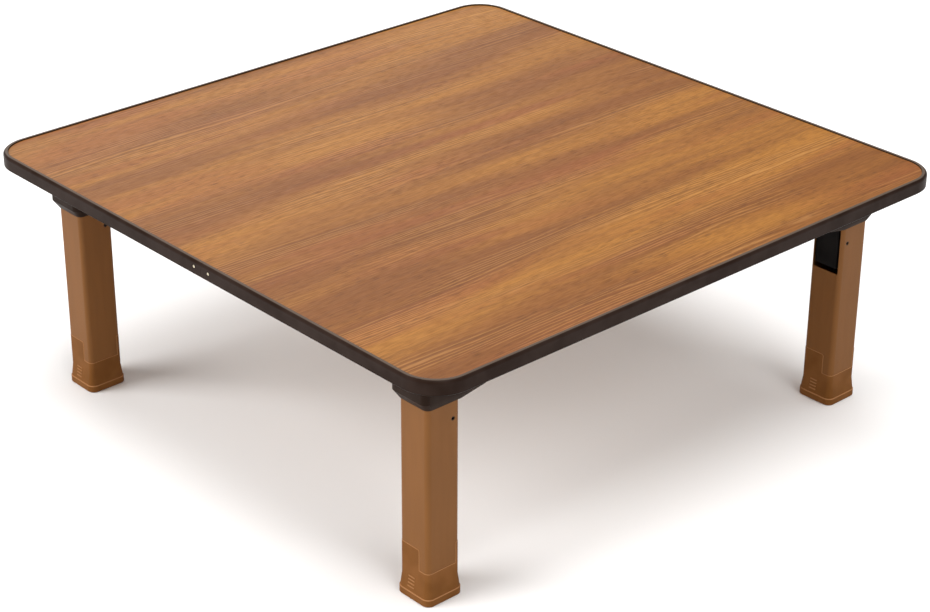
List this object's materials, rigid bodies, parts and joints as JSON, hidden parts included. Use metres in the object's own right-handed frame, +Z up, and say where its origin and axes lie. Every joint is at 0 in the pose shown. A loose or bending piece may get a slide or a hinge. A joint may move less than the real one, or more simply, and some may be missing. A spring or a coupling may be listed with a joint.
{
  "type": "low folding-leg table",
  "caption": "Low square table with a wood-grain top, dark edge moulding with rounded corners, and square tube legs on plastic brackets that fold flat under the top.",
  "frame": {"origin": "on the floor under the middle of the top", "axes": "+Z up; -Y is the front, where the moulding's butt joint and its two nails are; +X is to the right seen from the front"},
  "size_m": [0.8, 0.8, 0.308],
  "materials": {
    "board_core": "fibreboard with a brown paper face below",
    "wood_laminate": "satin wood-grain laminate",
    "edge_moulding": "satin dark brown moulding",
    "nail_steel": "bright",
    "bracket_plastic": "satin dark brown",
    "screw_steel": "zinc plated",
    "leg_paint": "brown powder coat",
    "foot_plastic": "satin brown",
    "pin_steel": "blackened",
    "block_nylon": "near-black nylon",
    "spring_steel": "blued spring steel"
  },
  "bodies": {
    "root": {"top_board": "board_core", "wood_laminate": "wood_laminate", "edge_moulding": "edge_moulding", "moulding_nails": "nail_steel", "front_left_bracket": "bracket_plastic", "front_left_pivot_block": "block_nylon", "front_left_bracket_screws": "screw_steel", "front_left_detent_spring": "spring_steel", "front_right_bracket": "bracket_plastic", "front_right_pivot_block": "block_nylon", "front_right_bracket_screws": "screw_steel", "front_right_detent_spring": "spring_steel", "rear_left_bracket": "bracket_plastic", "rear_left_pivot_block": "block_nylon", "rear_left_bracket_screws": "screw_steel", "rear_left_detent_spring": "spring_steel", "rear_right_bracket": "bracket_plastic", "rear_right_pivot_block": "block_nylon", "rear_right_bracket_screws": "screw_steel", "rear_right_detent_spring": "spring_steel"},
    "front_left_leg": {"front_left_leg_tube": "leg_paint", "front_left_foot_cap": "foot_plastic", "front_left_hinge_pin": "pin_steel"},
    "front_right_leg": {"front_right_leg_tube": "leg_paint", "front_right_foot_cap": "foot_plastic", "front_right_hinge_pin": "pin_steel"},
    "rear_left_leg": {"rear_left_leg_tube": "leg_paint", "rear_left_foot_cap": "foot_plastic", "rear_left_hinge_pin": "pin_steel"},
    "rear_right_leg": {"rear_right_leg_tube": "leg_paint", "rear_right_foot_cap": "foot_plastic", "rear_right_hinge_pin": "pin_steel"}
  },
  "joints": [
    {"name": "front_left_leg_fold", "type": "hinge", "parent": "root", "child": "front_left_leg", "pos_m": [-0.313, -0.3145, 0.217], "axis": [1, 0, 0], "range_deg": [0, 90], "deforming": ["front_left_detent_spring"]},
    {"name": "front_right_leg_fold", "type": "hinge", "parent": "root", "child": "front_right_leg", "pos_m": [0.313, -0.3145, 0.217], "axis": [1, 0, 0], "range_deg": [0, 90], "deforming": ["front_right_detent_spring"]},
    {"name": "rear_left_leg_fold", "type": "hinge", "parent": "root", "child": "rear_left_leg", "pos_m": [-0.313, 0.3145, 0.217], "axis": [-1, 0, 0], "range_deg": [0, 90], "deforming": ["rear_left_detent_spring"]},
    {"name": "rear_right_leg_fold", "type": "hinge", "parent": "root", "child": "rear_right_leg", "pos_m": [0.313, 0.3145, 0.217], "axis": [-1, 0, 0], "range_deg": [0, 90], "deforming": ["rear_right_detent_spring"]}
  ]
}
